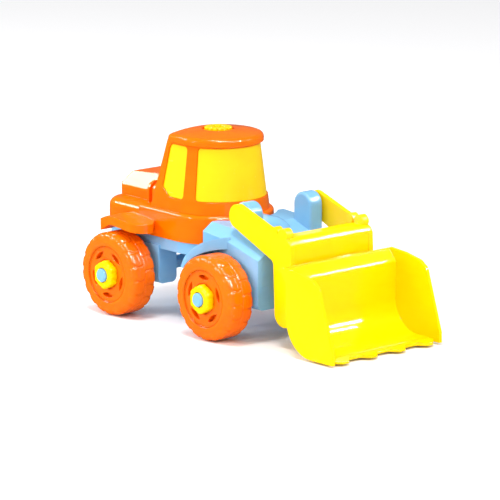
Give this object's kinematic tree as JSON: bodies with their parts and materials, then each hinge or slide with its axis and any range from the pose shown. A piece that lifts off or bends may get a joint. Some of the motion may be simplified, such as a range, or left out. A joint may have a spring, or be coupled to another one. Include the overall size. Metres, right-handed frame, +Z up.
{
  "type": "toy wheel loader",
  "caption": "Take-apart toy loader with a steering front frame, a lifting boom, a tilting toothed bucket, spinning wheels and a screwed-on cab.",
  "frame": {"origin": "on the ground under the middle of the loader's length and width", "axes": "+X forward towards the bucket, +Y to the loader's left, +Z up"},
  "size_m": [0.218, 0.1188, 0.113],
  "materials": {
    "orange_plastic": "glossy moulded orange plastic",
    "orange_wheel": "satin-gloss moulded orange plastic",
    "yellow_window": "glossy opaque yellow plastic",
    "yellow_plastic": "glossy moulded lemon-yellow plastic",
    "blue_plastic": "glossy moulded light-blue plastic",
    "zinc_steel": "zinc-plated steel"
  },
  "bodies": {
    "rear_unit": {"rear_chassis": "blue_plastic", "rear_body": "orange_plastic", "cab_shell": "orange_plastic", "cab_windows": "yellow_window", "roof_screw": "yellow_plastic", "body_screws": "zinc_steel", "king_pin": "blue_plastic", "king_washer": "blue_plastic", "rear_axle": "blue_plastic", "rear_nut_right": "yellow_plastic", "rear_nut_left": "yellow_plastic"},
    "front_unit": {"front_frame": "blue_plastic", "front_base": "blue_plastic", "frame_screws": "zinc_steel", "front_axle": "blue_plastic", "front_nut_right": "yellow_plastic", "front_nut_left": "yellow_plastic"},
    "boom": {"loader_arms": "yellow_plastic"},
    "bucket": {"bucket": "yellow_plastic"},
    "rear_wheel_right": {"rear_wheel_right": "orange_wheel"},
    "rear_wheel_left": {"rear_wheel_left": "orange_wheel"},
    "front_wheel_right": {"front_wheel_right": "orange_wheel"},
    "front_wheel_left": {"front_wheel_left": "orange_wheel"}
  },
  "joints": [
    {"name": "steer", "type": "hinge", "parent": "rear_unit", "child": "front_unit", "pos_m": [-0.038, 0, 0.037], "axis": [0, 0, 1], "range_deg": [-20, 20]},
    {"name": "boom_lift", "type": "hinge", "parent": "front_unit", "child": "boom", "pos_m": [0.0155, 0, 0.0715], "axis": [0, -1, 0], "range_deg": [0, 55]},
    {"name": "bucket_tilt", "type": "hinge", "parent": "boom", "child": "bucket", "pos_m": [0.056, 0, 0.0204], "axis": [0, 1, 0], "range_deg": [0, 60]},
    {"name": "rear_wheel_right_spin", "type": "hinge", "parent": "rear_unit", "child": "rear_wheel_right", "pos_m": [-0.0765, -0.04515, 0.025], "axis": [0, 1, 0], "continuous": true},
    {"name": "rear_wheel_left_spin", "type": "hinge", "parent": "rear_unit", "child": "rear_wheel_left", "pos_m": [-0.0765, 0.04515, 0.025], "axis": [0, 1, 0], "continuous": true},
    {"name": "front_wheel_right_spin", "type": "hinge", "parent": "front_unit", "child": "front_wheel_right", "pos_m": [0.0105, -0.04515, 0.025], "axis": [0, 1, 0], "continuous": true},
    {"name": "front_wheel_left_spin", "type": "hinge", "parent": "front_unit", "child": "front_wheel_left", "pos_m": [0.0105, 0.04515, 0.025], "axis": [0, 1, 0], "continuous": true}
  ]
}
